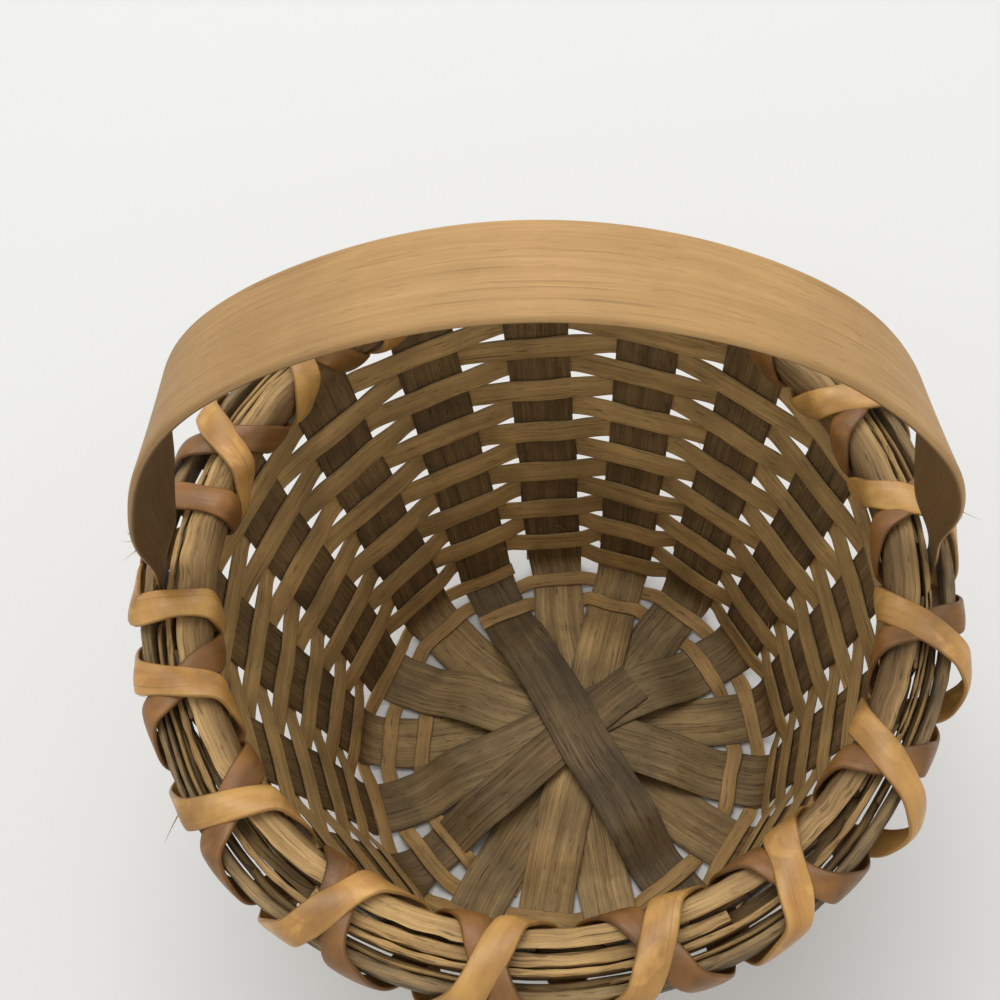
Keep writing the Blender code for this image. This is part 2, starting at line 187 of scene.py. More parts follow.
def make_piece(name, rings, material, nodes=(), *, tint, seed):
    """rings is (n, m, 3), or a list of such with a list of tints.  seed moves the grain."""
    parts = rings if isinstance(rings, list) else [rings]
    tints = tint if isinstance(tint, list) else [tint] * len(parts)
    corners, faces, uvs, colours, base = [], [], [], [], 0
    for part, part_tint in zip(parts, tints):
        count, sides = part.shape[:2]
        index = base + np.arange(count * sides).reshape(count, sides)
        after = np.roll(index, -1, axis=1)
        quads = np.stack((index[:-1], after[:-1], after[1:], index[1:]), axis=-1).reshape(-1, 4)
        middle = part.mean(axis=1)
        run = np.concatenate(([0], np.cumsum(np.linalg.norm(np.diff(middle, axis=0), axis=1))))
        closed = np.concatenate((part, part[:, :1]), axis=1)
        lap = np.cumsum(np.linalg.norm(np.diff(closed, axis=1), axis=2), axis=1)
        lap = np.concatenate((np.zeros((count, 1)), lap), axis=1)
        run = np.broadcast_to(run[:, None], lap.shape) + seed * 0.37
        place = np.stack((run, lap), axis=-1)
        corner_uv = np.stack((place[:-1, :-1], place[:-1, 1:],
                              place[1:, 1:], place[1:, :-1]), axis=2)
        caps = [index[0, ::-1], index[-1]]
        uvs += [corner_uv.reshape(-1, 2), place[0, -2::-1], place[-1, :-1]]
        faces += quads.tolist() + [cap.tolist() for cap in caps]
        corners.append(part.reshape(-1, 3))
        colours.append(np.broadcast_to(part_tint, (count, sides, 3)).reshape(-1, 3))
        base += count * sides
    corners, uvs, colours = map(np.concatenate, (corners, uvs, colours))
    mesh = bpy.data.meshes.new(name)
    mesh.from_pydata(corners, [], faces)
    mesh.shade_smooth()
    mesh.uv_layers.new(name="grain").data.foreach_set("uv", uvs.ravel())
    attribute = mesh.attributes.new("tint", "FLOAT_COLOR", "POINT")
    attribute.data.foreach_set("color", np.hstack((colours, np.ones((len(colours), 1)))).ravel())
    turn_outwards(mesh)
    mesh.set_sharp_from_angle(angle=math.radians(50))
    mesh.materials.append(material)
    thing = bpy.data.objects.new(name, mesh)
    bpy.context.scene.collection.objects.link(thing)
    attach(thing, "root")
    if nodes:
        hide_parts(*nodes)
    made.append(thing)


def turn_outwards(mesh):
    """Flips all faces if the signed volume, the sum of centre . normal * area / 3, is negative."""
    count = len(mesh.polygons)
    centre, normal, area = np.empty(count * 3), np.empty(count * 3), np.empty(count)
    mesh.polygons.foreach_get("center", centre)
    mesh.polygons.foreach_get("normal", normal)
    mesh.polygons.foreach_get("area", area)
    if ((centre * normal).reshape(-1, 3).sum(axis=1) * area).sum() < 0:
        mesh.flip_normals()


# %% [markdown]
# ## The wood finish
# Split wood shows long fibres: fine dark and pale lines that run the length of the strip, broad
# soft streaks, and a few stains.  Stretched noise on the UV map gives them.  One function makes
# every wood here.  They differ in their colours, in how strong the lines are and in how smooth
# the surface is.

# %% Node helpers
def add(tree, kind, inputs, **settings):
    """A new shader node with its settings, and its inputs linked or set by name or number."""
    node = tree.nodes.new("ShaderNode" + kind)
    for key, value in settings.items():
        setattr(node, key, value)
    for key, value in inputs.items():
        if isinstance(value, bpy.types.NodeSocket):
            tree.links.new(value, node.inputs[key])
        else:
            node.inputs[key].default_value = value
    return node


def noise(tree, place, scale, detail, roughness, warp=0.0):
    """Noise on a place stretched by scale, one number for each axis."""
    stretched = add(tree, "Mapping", {"Vector": place, "Scale": scale})
    texture = add(tree, "TexNoise", {"Vector": stretched.outputs[0], "Scale": 1.0,
                                     "Detail": detail, "Roughness": roughness,
                                     "Distortion": warp})
    return texture.outputs["Fac"]


def reshape(tree, value, low, high, to_low=0.0, to_high=1.0):
    """A value spread from low..high to to_low..to_high, clipped at both ends."""
    return add(tree, "MapRange", {"Value": value, "From Min": low, "From Max": high,
                                  "To Min": to_low, "To Max": to_high}).outputs["Result"]


def mix(tree, share, first, second, how="MIX"):
    """Two colours mixed by share."""
    colours = [(*c, 1) if isinstance(c, tuple) else c for c in (first, second)]
    return add(tree, "MixRGB", {"Fac": share, "Color1": colours[0], "Color2": colours[1]},
               blend_type=how).outputs[0]


def linear(red, green, blue):
    """A colour from 0..255 display values to the linear values that a shader takes."""
    level = np.array((red, green, blue)) / 255
    curved = ((level + 0.055) / 1.055) ** 2.4
    return tuple(np.where(level < 0.04045, level / 12.92, curved).tolist())


# %% The wood material
def wood(name, pale, deep, stain, line, stain_share, rough=(0.55, 0.8), coat=0.0,
         groove=0.00012, fibre=1500, flecks=0.5, crack=0.45, painted_glints=0.0):
    """pale and deep are the wood between and on its lines; stain is where it has greyed.

    line weighs the fine lines against the streaks, flecks is how dark the short dashes are,
    crack how bright a crack stays, and painted_glints how strongly small pale spots show,
    painted highlights that stand for the soft glints on bark.
    """
    pale, deep, stain = linear(*pale), linear(*deep), linear(*stain)
    material = bpy.data.materials.new(name + "_grain")
    material["slot"] = name
    material.use_nodes = True
    tree = material.node_tree
    shader = tree.nodes["Principled BSDF"]
    place = add(tree, "UVMap", {}, uv_map="grain").outputs[0]
    thing = add(tree, "TexCoord", {}).outputs["Object"]
    fine = noise(tree, place, (40, fibre, 1), 6, 0.7, 0.05)
    broad = noise(tree, place, (14, fibre / 5, 1), 3, 0.55, 0.12)
    blotch = noise(tree, thing, (70, 70, 70), 4, 0.6, 0.4)
    lines = reshape(tree, fine, 0.40, 0.62)
    streaks = reshape(tree, broad, 0.36, 0.66)
    colour = mix(tree, mix(tree, line, streaks, lines), deep, pale)
    marks = reshape(tree, blotch, 0.42, 0.72, 0.0, stain_share)
    colour = mix(tree, marks, colour, stain)
    # Painted highlights: small spots paler than the pale wood are mixed into the colour as the soft
    # glints on bark.
    glint_noise = noise(tree, thing, (150, 150, 150), 3, 0.5, 0.6)
    glint_share = reshape(tree, glint_noise, 0.56, 0.72, 0.0, painted_glints)
    colour = mix(tree, glint_share, colour, tuple(min(1.0, 1.3 * level) for level in pale))
    long_marks = noise(tree, place, (22, fibre * 0.8, 1), 2, 0.5)
    cracks = reshape(tree, long_marks, 0.29, 0.36, crack, 1.0)
    short_marks = noise(tree, place, (170, fibre * 0.9, 1), 2, 0.55)
    dashes = reshape(tree, short_marks, 0.60, 0.70, 1.0, 1 - flecks)
    dark = add(tree, "Math", {0: cracks, 1: dashes}, operation="MULTIPLY").outputs[0]
    grey = add(tree, "CombineColor", {0: dark, 1: dark, 2: dark}).outputs[0]
    colour = mix(tree, 1.0, colour, grey, "MULTIPLY")
    tint = add(tree, "Attribute", {}, attribute_name="tint").outputs["Color"]
    colour = mix(tree, 1.0, colour, tint, "MULTIPLY")
    tree.links.new(colour, shader.inputs["Base Color"])
    tree.links.new(reshape(tree, fine, 0.3, 0.7, rough[1], rough[0]), shader.inputs["Roughness"])
    relief = add(tree, "Math", {0: fine, 1: broad}, operation="ADD").outputs[0]
    relief = add(tree, "Math", {0: relief, 1: dark}, operation="ADD").outputs[0]
    bump = add(tree, "Bump", {"Strength": 0.8, "Distance": groove, "Height": relief})
    tree.links.new(bump.outputs[0], shader.inputs["Normal"])
    shader.inputs["Specular IOR Level"].default_value = 0.35
    shader.inputs["Coat Weight"].default_value = coat
    shader.inputs["Coat Roughness"].default_value = 0.35
    return material


split_groove = 0.0003
bark = {"line": 0.18, "stain_share": 0.75, "groove": 0.00006, "fibre": 900, "flecks": 0.1,
        "crack": 0.8}
splint_wood = wood("splint_wood", (198, 168, 116), (128, 103, 66), (104, 88, 60), 0.5, 0.6)
weaver_wood = wood("weaver_wood", (212, 176, 116), (160, 128, 78), (128, 106, 68), 0.45, 0.5)
base_weaver_wood = wood("base_weaver_wood", (204, 166, 108), (158, 122, 72), (128, 102, 62),
                        0.45, 0.4)
hoop_wood = wood("hoop_wood", (218, 180, 120), (150, 114, 68), (118, 94, 60), 0.55, 0.4,
                 groove=split_groove)
outer_hoop_wood = wood("outer_hoop_wood", (176, 148, 104), (104, 84, 55), (84, 72, 52),
                       0.5, 0.6, groove=split_groove)
handle_wood = wood("handle_wood", (192, 152, 98), (172, 133, 82), (152, 116, 70), 0.5, 0.3,
                   rough=(0.5, 0.68), fibre=1300, flecks=0.14, crack=0.78)
light_bark = wood("light_bark", (202, 156, 86), (172, 122, 62), (132, 92, 44),
                  rough=(0.30, 0.50), coat=0.2, painted_glints=0.5, **bark)
dark_bark = wood("dark_bark", (148, 101, 50), (116, 77, 35), (84, 57, 27),
                 rough=(0.34, 0.52), coat=0.1, painted_glints=0.35, **bark)
print("woods:", len(bpy.data.materials))

# %% [markdown]
# ## The stakes' line
# From the middle of the base outwards a splint lies flat, turns up through a bend, climbs the
# wall, which flares most at half height, and stands upright between the hoops.  Radius and height
# are functions of the run, the length of splint from the middle.  The turn is an arc.  The wall is
# worked out once as a table over its height, and looked up with np.interp.

# %% One stake's profile
turn_start, turn_radius, wall_foot_angle = 0.0515, 0.0066, math.radians(84)
turn_length = turn_radius * wall_foot_angle
turn_end = turn_start + turn_length
base_level = base_weaver_thickness + joint_gap + splint_thickness / 2


def arc_point(start, slope, turn, length, run):
    """start plus a chord of run * sinc(half turn), at slope plus half the turn made so far."""
    half = turn * run / length / 2
    chord = run * np.sinc(half / math.pi)
    return start[0] + chord * np.cos(slope + half), start[1] + chord * np.sin(slope + half)


turn_exit = arc_point((turn_start, base_level), 0, wall_foot_angle, turn_length, turn_length)
rim_entry = (stake_mid_radius, hoop_bottom - joint_gap)
wall_rise, wall_flare = rim_entry[1] - turn_exit[1], rim_entry[0] - turn_exit[0]
share = np.linspace(0, 1, 241)
wall_heights = turn_exit[1] + wall_rise * share
wall_radii = (turn_exit[0] + wall_flare * share * share * (3 - 2 * share)
              + wall_rise / math.tan(wall_foot_angle) * share * (1 - share) ** 2)
wall_steps = np.hypot(np.diff(wall_radii), np.diff(wall_heights))
wall_runs = turn_end + np.concatenate(([0], np.cumsum(wall_steps)))
wall_end = wall_runs[-1]
stake_top_drop = 0.001
stake_end = wall_end + rim_height - stake_top_drop - rim_entry[1]


def stake_profile(run):
    """Radius and height of a stake's middle at each run: flat, arc, wall table, upright."""
    run = np.asarray(run, dtype=float)
    in_turn = np.clip(run, turn_start, turn_end) - turn_start
    radius, height = arc_point((turn_start, base_level), 0, wall_foot_angle, turn_length, in_turn)
    on_wall = run > turn_end
    radius = np.where(on_wall, np.interp(run, wall_runs, wall_radii), radius)
    radius = radius + np.minimum(run - turn_start, 0)
    height = np.where(on_wall, np.interp(run, wall_runs, wall_heights), height)
    return radius, height + np.maximum(run - wall_end, 0)


def stake_angle(stake):
    """Stakes count clockwise from above, and handle_stake stands by the handle's left foot."""
    return math.pi + handle_stake_turn + (handle_stake - stake) * stake_step


print("a stake is", round(stake_end * 1000), "mm long from the middle of the base to its top")

# %% The pile of splints in the middle
level_order, lower_layer, upper_layer = "hfdbcgexa", "hfdb", "cgea"
layer_pitch = splint_thickness + joint_gap
pile_floor = joint_gap + splint_thickness / 2
pile_end = base_weaver_start - base_weaver_width / 2
layer_fall = 0.0024
layer_start = pile_end - layer_fall
lower_reach, upper_reach, pile_fall = 0.027, 0.029, 0.013


def pile_height(letter, run):
    """A splint's height over the base level: its layer at the weaver and its level in the pile."""
    lower = letter in lower_layer
    layer = layer_pitch * (-0.5 if lower else 0.5 if letter in upper_layer else 1.5)
    pile = pile_floor + level_order.index(letter) * layer_pitch - base_level - layer
    run = np.abs(run)
    return (layer * fall(run, layer_start, layer_fall)
            + pile * fall(run, lower_reach if lower else upper_reach, pile_fall))


def splint_width_at(run, base_width=base_splint_width):
    """Splints are trimmed narrower on the base, where they crowd together."""
    return base_width + (splint_width - base_width) * (1 - fall(run, turn_start, turn_length))


# %% [markdown]
# ## The splints
# Each long splint is two stakes and the straight run between them.  It could be one bent plane,
# but a thin closed strip with eased edges catches the light as split wood does.  Its width
# wanders a little, and each splint has its own tone on the base, as no two come from the same
# log.  The base is a little darker towards +X.  The wall part is evenly darker: partly greyed
# wood, partly painted shade where the stakes lie behind the weavers.

# %% Bend the splints
def half_path(letter, stake, middle, runs):
    """Middle line and width direction from a splint's middle out to the top of one stake."""
    radius, height = stake_profile(runs)
    angle = stake_angle(stake)
    outward, around = outward_at(angle), around_at(angle)
    foot = pile_end * outward
    on_base = (runs < pile_end)[:, None]
    flat = middle + (foot - middle) * (runs / pile_end)[:, None]
    line = np.where(on_base, flat, radius[:, None] * outward)
    line[:, 2] = height + pile_height(letter, runs)
    chord = unit(foot - middle)
    return line, np.where(on_base, (-chord[1], chord[0], 0), around)


def splint_piece(name, letter, stakes, number, tone):
    """A strip along one or two half paths."""
    feet = [pile_end * outward_at(stake_angle(stake)) for stake in stakes]
    run_step = 0.0008
    runs = np.arange(0, stake_end, run_step)
    if len(stakes) == 2:
        middle = sum(feet) / 2
        line_a, wide_a = half_path(letter, stakes[0], middle, runs)
        line_b, wide_b = half_path(letter, stakes[1], middle, runs)
        line = np.concatenate((line_a[::-1], line_b[1:]))
        wide = np.concatenate((-wide_a[::-1], wide_b[1:]))
        runs = np.concatenate((-runs[::-1], runs[1:]))
    else:
        runs = np.concatenate((np.arange(-half_splint_tail, 0, run_step), runs))
        line, wide = half_path(letter, stakes[0], np.zeros(3), runs)
    path, wide, along = carry(line, wide, step=0.0012, reach=0.004)
    run = np.interp(along, np.linspace(0, along[-1], len(runs)), runs)
    path = path + wide * 0.0003 * wander(along, number, 0.06)[:, None]
    base_width = base_splint_width if len(stakes) == 2 else half_splint_base_width
    width = splint_width_at(np.abs(run), base_width) + 0.0003 * wander(along, number + 50, 0.045)
    thickness = splint_thickness + 0.00006 * wander(along, number + 90, 0.02)
    profile = strip_profile(splint_width, splint_thickness, 11)
    rings = strip_rings(path, wide, width, thickness, profile)
    shade = 1 + 0.12 * wander(along, number + 130, 0.04)
    on_base = fall(np.abs(run), turn_start, 0.01)
    shade = shade * (1 - 0.15 * np.clip(path[:, 0] / 0.05, 0, 1) * on_base)
    edge = 1 - 0.25 * (np.abs(profile[0]) > 0.95)
    # Partly painted shade and partly greyed wood: up the wall, where the stakes lie behind the
    # weavers, the tone turns darker.
    on_wall = 1 - fall(np.abs(run), turn_start - 0.002, 0.012)
    tone = np.array(tone) + on_wall[:, None] * (np.array(wall_stain_and_shade) - np.array(tone))
    tint = (shade[:, None] * tone)[:, None] * edge[None, :, None]
    make_piece(name, rings, splint_wood, [name], tint=tint, seed=number)


wall_stain_and_shade = (0.50, 0.46, 0.42)
splint_tones = {"a": (0.51, 0.51, 0.54), "b": (1.12, 1.10, 1.08), "c": (1.10, 1.05, 0.97),
                "d": (0.82, 0.82, 0.80), "e": (0.70, 0.70, 0.70), "f": (1.04, 1.02, 0.96),
                "g": (0.90, 0.90, 0.88), "h": (1.06, 1.02, 0.95)}
opposite = stake_count // 2
for number, letter in enumerate(splint_tones):
    second = number + opposite + (number + opposite >= half_splint_stake)
    splint_piece("base_splint_" + letter, letter, (number, second), number, splint_tones[letter])
splint_piece("half_splint", "x", (half_splint_stake,), 8, (0.58, 0.56, 0.54))
print("splints:", len(made))

# %% [markdown]
# ## The weavers
# A weaver passes inside one stake and outside the next.  On the base one narrow strip goes round
# twice to hold the splints flat.  On the wall twelve strips follow one another in one climbing
# spiral, and each one's end is lapped outside the next one's start.  The path goes through two
# points at each stake, one at each edge, at the weaver's own distance from the stake's face.

# %% Weave a strip round the stakes
def weave(name, passes, first_run, pitch, width, thickness, overhang, material, number,
          lapped, tone, is_node=True):
    """Even passes lie inside their stake and odd ones outside.

    The strip starts at first_run and climbs by pitch in a round.  overhang is how far it runs
    straight past a stake's edge, and lapped moves its last pass further out.
    """
    stakes = np.repeat(passes, 2)
    angle = stake_angle(stakes)
    run = first_run + pitch * (stakes - passes[0]) / stake_count
    shift = np.tile((-1, 1), len(passes)) * (splint_width_at(run) / 2 + overhang)
    offset = (splint_thickness + thickness) / 2 + joint_gap
    side = np.where(stakes % 2, offset, -offset)
    side[-2:] += lapped * (thickness + joint_gap)
    radius, height = stake_profile(run)
    low_radius, low_height = stake_profile(run - width / 2)
    high_radius, high_height = stake_profile(run + width / 2)
    slope = np.arctan2(high_height - low_height, high_radius - low_radius)
    radius = np.where(stakes % 2, radius, (low_radius + high_radius) / 2)
    height = np.where(stakes % 2, height, (low_height + high_height) / 2)
    outward, around = outward_at(angle), around_at(angle)
    skin = np.sin(slope)[:, None] * outward - np.cos(slope)[:, None] * up
    climb = np.cos(slope)[:, None] * outward + np.sin(slope)[:, None] * up
    line = place_at(angle, radius, height) + side[:, None] * skin - shift[:, None] * around
    path, wide, along = carry(line, climb, step=0.0011, reach=0.0055)
    path = path + wide * 0.00022 * wander(along, number + 200, 0.03)[:, None]
    widths = width + 0.0003 * wander(along, number + 230, 0.022)
    profile = strip_profile(width, thickness, 7)
    rings = strip_rings(path, wide, widths, thickness, profile)
    rings[..., 2] = np.maximum(rings[..., 2], 0)
    shade = 1 + 0.12 * wander(along, number + 260, 0.03)
    edge = 1 - 0.3 * (np.abs(profile[0]) > 0.9)
    tint = shade[:, None, None] * edge[None, :, None] * np.array(tone)
    make_piece(name, rings, material, [name] * is_node, tint=tint, seed=number)


# %% The narrow weaver on the base, and the short tail that it starts with
tail_start, tail_pitch = 0.0414, -0.004
weave("base_weaver_tail", np.arange(11, 16), tail_start, tail_pitch, base_weaver_width,
      base_weaver_thickness, 0.0006, base_weaver_wood, 21, False, (0.95, 0.95, 0.95),
      is_node=False)
base_passes = base_weaver_rounds * stake_count + 1
weave("base_weaver", np.arange(base_passes), base_weaver_start, base_weaver_pitch,
      base_weaver_width, base_weaver_thickness, 0.0002, base_weaver_wood, 20, False, (1, 1, 1))

# %% The wall's twelve weavers
weaver_count, weaver_thickness, row_gap, weaver_reach = 12, 0.0008, 0.0005, 18
lashing_thickness, lashing_slack, lashing_bow = 0.0009, 0.0003, 0.0004
lashing_room = lashing_slack + 3 * joint_gap + 2 * lashing_thickness + lashing_bow
first_row_drop = 0.0035
weave_start = turn_end - first_row_drop
woven_length = np.interp(hoop_bottom - lashing_room, wall_heights, wall_runs) - weave_start
weaver_pitch = ((woven_length + row_gap - 2 * joint_gap)
                / (weaver_count * weaver_reach / stake_count + 1))
weaver_width = weaver_pitch - row_gap
print("the weavers are", round(weaver_width * 1000, 2), "mm wide")
for number in range(weaver_count):
    first = base_passes + number * weaver_reach
    run = (weave_start + weaver_width / 2 + joint_gap
           + weaver_pitch * number * weaver_reach / stake_count)
    lapped = number < weaver_count - 1
    tone = np.ones(3) * (1 + 0.06 * wander(np.array(float(number)), 5, 2.3))
    weave(f"wall_weaver_{number + 1:02d}", np.arange(first, first + weaver_reach + lapped), run,
          weaver_pitch, weaver_width, weaver_thickness, 0.0004, weaver_wood,
          number, lapped, tone)

# %% [markdown]
# ## The rim's sticks
# The rim is bent from split sticks: a broad one inside the stakes, a thin one outside them, the
# outermost one past the handle's feet, and a short spare stick that packs out the front.  Their
# tops are split clean and pale, their sides keep a greyer skin.  A section with rounded corners
# goes round the axis while its radius and height wander, and each stick's two ends are cut thin
# and lapped.

# %% Bend the sticks
middle_hoop_height, outer_hoop_height, filler_height = 0.005, 0.0065, 0.0055
hoop_lap, hoop_tip, hoop_overhang = math.radians(24), 0.0004, 0.0008
split_depth = 0.0026
filler_from, filler_to = math.radians(-124), math.radians(-66)
filler_thickness = 0.0026
full_swell, swell_ramp = filler_thickness + joint_gap, math.radians(35)


def swell(angle):
    """How far the outer sticks bow out round the spare stick, easing off past its ends."""
    away = np.abs((angle - (filler_from + filler_to) / 2 + math.pi) % tau - math.pi)
    return full_swell * fall(away, (filler_to - filler_from) / 2, swell_ramp)


def belly(angle):
    """How far the inner hoop bows inwards, by cos squared: most beside the handle's feet."""
    return inner_hoop_belly * np.cos(angle) ** 2


def stick_section(outer_power, inner_power, sides=36):
    """A rounded square, |x|^p + |y|^p = 1, whose outer and inner halves have their own p."""
    turn = (np.arange(sides) + 0.5) / sides * tau
    power = 2 / np.where(np.cos(turn) > 0, outer_power, inner_power)
    return (np.sign(np.cos(turn)) * np.abs(np.cos(turn)) ** power,
            np.sign(np.sin(turn)) * np.abs(np.sin(turn)) ** power)


def stick_rings(angles, inner, outer, bottom, top, powers, number, overhang=0.0):
    """Sections round the axis between four wandering limits, with fine ridges of split fibre.

    overhang pushes the outer top edge out over the stakes' ends.
    """
    across, high = stick_section(*powers)
    along = angles * rim_inner_radius
    middle = (inner + outer) / 2
    half = (outer - inner) / 2
    low = bottom + 0.0002 * wander(along, number + 300, 0.05)
    crest = top + 0.0003 * wander(along, number + 310, 0.03)
    ridge = np.stack([wander(along, number * 40 + point, 0.02) for point in range(len(across))],
                     axis=1)
    ridge *= 0.00011 * (high > 0.3)
    radius = middle[:, None] + half[:, None] * across + ridge * across
    height = ((low + crest) / 2)[:, None] + ((crest - low) / 2)[:, None] * high + ridge * high
    radius = radius + 0.00012 * wander(along, number + 320, 0.012)[:, None] * (high > 0.6) * across
    top_edge = np.clip((high - 0.8) / 0.15, 0, 1)
    radius = radius + np.reshape(overhang, (-1, 1)) * top_edge * (across > 0)
    return place_at(angles[:, None], radius, height)


def stick_tint(angles, thickness, powers, number, top_tone, side_tone):
    """Pale on the split top, the outermost split_depth of a stick, and the skin's grey elsewhere.

    The side round angle nought, towards +X, is darker still: painted shade.
    """
    across, high = stick_section(*powers)
    limit = 1 - 2 * split_depth / np.maximum(thickness, split_depth)
    outermost = np.clip((across - limit[:, None] + 0.15) / 0.25, 0, 1)
    share = outermost * np.clip((high - 0.7) / 0.2, 0, 1)
    tone = np.array(side_tone) + share[..., None] * (np.array(top_tone) - np.array(side_tone))
    shade = 1 + 0.12 * wander(angles * rim_inner_radius, number + 330, 0.03)
    # Painted shade: the sticks are darker on the side round angle nought, towards +X.
    shade = shade * (1 - 0.25 * np.clip(np.cos(angles + 0.25), 0, 1) ** 2)
    return shade[:, None, None] * tone


def hoop(name, inner, thickness, bottom, height, start, material, number, powers, tones,
         inside=False):
    """A stick bent all round from start, with its ends cut thin and lapped over hoop_lap."""
    angles = start + np.linspace(0, tau + hoop_lap, 560)
    inner = inner + (-belly(angles) if inside else swell(angles))
    thickness = thickness + inside * belly(angles)
    wedge = thickness - joint_gap - 2 * hoop_tip
    from_start = np.clip((angles - start) / hoop_lap, 0, 1)
    from_end = np.clip((angles - start - tau) / hoop_lap, 0, 1)
    outer_face = np.where(from_start < 1, inner + hoop_tip + wedge * from_start, inner + thickness)
    inner_face = np.where(from_end > 0, inner + hoop_tip + joint_gap + wedge * from_end, inner)
    rings = stick_rings(angles, inner_face, outer_face, bottom, bottom + height, powers, number,
                        inside * (hoop_overhang + hoop_overhang * swell(angles) / full_swell))
    tint = stick_tint(angles, thickness + 0 * angles, powers, number, *tones)
    make_piece(name, rings, material, [name], tint=tint, seed=number)


filler_inner = math.hypot(stake_mid_radius + splint_thickness / 2, splint_width / 2) + joint_gap
slot_inner = filler_inner + middle_hoop_thickness + joint_gap
outer_inner = slot_inner + handle_thickness + joint_gap
rim_outer_radius = outer_inner + outer_hoop_thickness
hoop("inner_hoop", rim_inner_radius, inner_hoop_thickness, hoop_bottom, hoop_height,
     math.radians(60), hoop_wood, 31, (7, 2.6), ((1, 1, 1), (0.50, 0.47, 0.43)), inside=True)
hoop("middle_hoop", filler_inner, middle_hoop_thickness, hoop_middle - middle_hoop_height / 2,
     middle_hoop_height, math.radians(-30), hoop_wood, 32, (5, 5),
     ((0.95, 0.94, 0.9), (0.5, 0.48, 0.44)))
hoop("outer_hoop", outer_inner, outer_hoop_thickness, hoop_middle - outer_hoop_height / 2,
     outer_hoop_height, math.radians(200), outer_hoop_wood, 33, (3.4, 3.4),
     ((0.98, 0.94, 0.88), (0.6, 0.6, 0.6)))

# %% The spare stick at the front
angles = np.linspace(filler_from, filler_to, 130)
inner = np.full(len(angles), filler_inner)
rings = stick_rings(angles, inner, inner + filler_thickness, hoop_middle - filler_height / 2,
                    hoop_middle + filler_height / 2, (5, 5), 34)
make_piece("front_filler_stick", rings, hoop_wood, ["front_filler_stick"],
           tint=stick_tint(angles, 0 * angles, (5, 5), 34, (1, 1, 1), (0.5, 0.48, 0.44)), seed=34)
print("rim:", round(rim_inner_radius * 2000), "mm inside,",
      round(rim_outer_radius * 2000), "mm over the sticks")

# %% [markdown]
# ## What fills the rim
# Between the sticks the real rim is packed: bent-over stake ends lie in the gaps between stakes,
# two fillers lie where the sticks bow out at the spare stick's ends, and long thin strands lie in
# the slot beside the handle's feet.  All are strips that stand on edge along the rim.  One object
# holds them, and each has its own length, height and tone from a seeded generator.

# %% Shape one sliver
def sliver(first, last, radius, bow, crest, height, thickness, tone, number):
    """A strip on edge from one angle to another, whose path, crest and tone wander.

    It bows out by bow times the sticks' swell, and where bow is a half it also thickens, to fill
    the space that opens between the stakes and the bowed sticks.
    """
    steps = max(16, int((last - first) * 90))
    angles = np.linspace(first, last, steps)
    share = np.linspace(-1, 1, steps)
    along = angles * rim_inner_radius
    radius = radius + bow * swell(angles) + 0.0002 * wander(along, number + 400, 0.03)
    lift = crest - height / 2 - 0.0007 * share ** 8 + 0.0004 * wander(along, number + 450, 0.025)
    middle = place_at(angles, radius, lift)
    profile = strip_profile(height, thickness, flats=5, eased=2)
    thickness = thickness + 0.8 * (bow == 0.5) * swell(angles)
    heights = height * (1 - 0.4 * share ** 12)
    rings = strip_rings(middle, np.tile(up, (steps, 1)), heights, thickness, profile)
    shade = tone * (1 + 0.2 * wander(along, number + 480, 0.02))
    tint = shade[:, None] * np.array((1.0, 0.97, 0.88))
    return rings, np.broadcast_to(tint[:, None], rings.shape)


# %% Pack the gaps between stakes and the ends of the spare stick
gap_reach, gap_height, gap_thickness = 0.08, 0.0045, 0.0010
ramp_near, ramp_far, ramp_thickness = 0.01, 0.55, 0.0001
rng = np.random.default_rng(7)
slivers = []
for stake in range(stake_count):
    gap_middle = stake_angle(stake) - stake_step / 2
    bow = 0 if swell(gap_middle) > filler_thickness else 0.5
    crest = hoop_middle + rng.uniform(-0.001, 0.0006)
    slivers.append(sliver(gap_middle - gap_reach, gap_middle + gap_reach,
                          stake_mid_radius + 0.0002, bow, crest, gap_height, gap_thickness,
                          rng.uniform(0.3, 0.42), stake))
for first, last in ((filler_from - ramp_far, filler_from - ramp_near),
                    (filler_to + ramp_near, filler_to + ramp_far)):
    slivers.append(sliver(first, last, filler_inner, 0.5, hoop_middle - 0.0002, gap_height,
                          ramp_thickness, 0.4, 18 + len(slivers)))

# %% Lay strands in the slot: each lane's place, thickness, crests, tones and longest strand
lanes = ((0.00105, 0.0017, (-0.0008, 0.0004), (0.3, 0.42), 0.9),
         (0.00130, 0.0008, (0.0006, 0.0016), (0.55, 0.9), 0.5))
slot_height, clear_of_foot, least_room = 0.0042, (0.11, 0.2), 0.4
for side in (-math.pi, 0):
    for lane, thick, crests, tones, longest in lanes:
        first = side + rng.uniform(*clear_of_foot)
        while first < side + math.pi - least_room:
            last = min(first + longest * rng.uniform(0.6, 1.2),
                       side + math.pi - rng.uniform(*clear_of_foot))
            crest = hoop_middle + rng.uniform(*crests)
            slivers.append(sliver(first, last, slot_inner + lane, 1, crest, slot_height, thick,
                                  rng.uniform(*tones), 20 + len(slivers)))
            first = last - 0.01 + (thick < 0.001) * rng.uniform(0.15, 0.45)
make_piece("rim_packing", [part for part, _ in slivers], hoop_wood,
           tint=[tone for _, tone in slivers], seed=35)
print("slivers:", len(slivers))

# %% [markdown]
# ## The lashing
# Two flat strips of bark are wound round the rim, one each way, so that they cross on top of
# every stake and again below.  A wrap's section is a rounded rectangle round the sticks, worked
# out by its share of the way round; the angle moves on by one stake for each wrap.  The light
# strip lies over the dark one where they cross, and comes back down onto the sticks between.  Two
# of its wraps have come loose and bulge out.

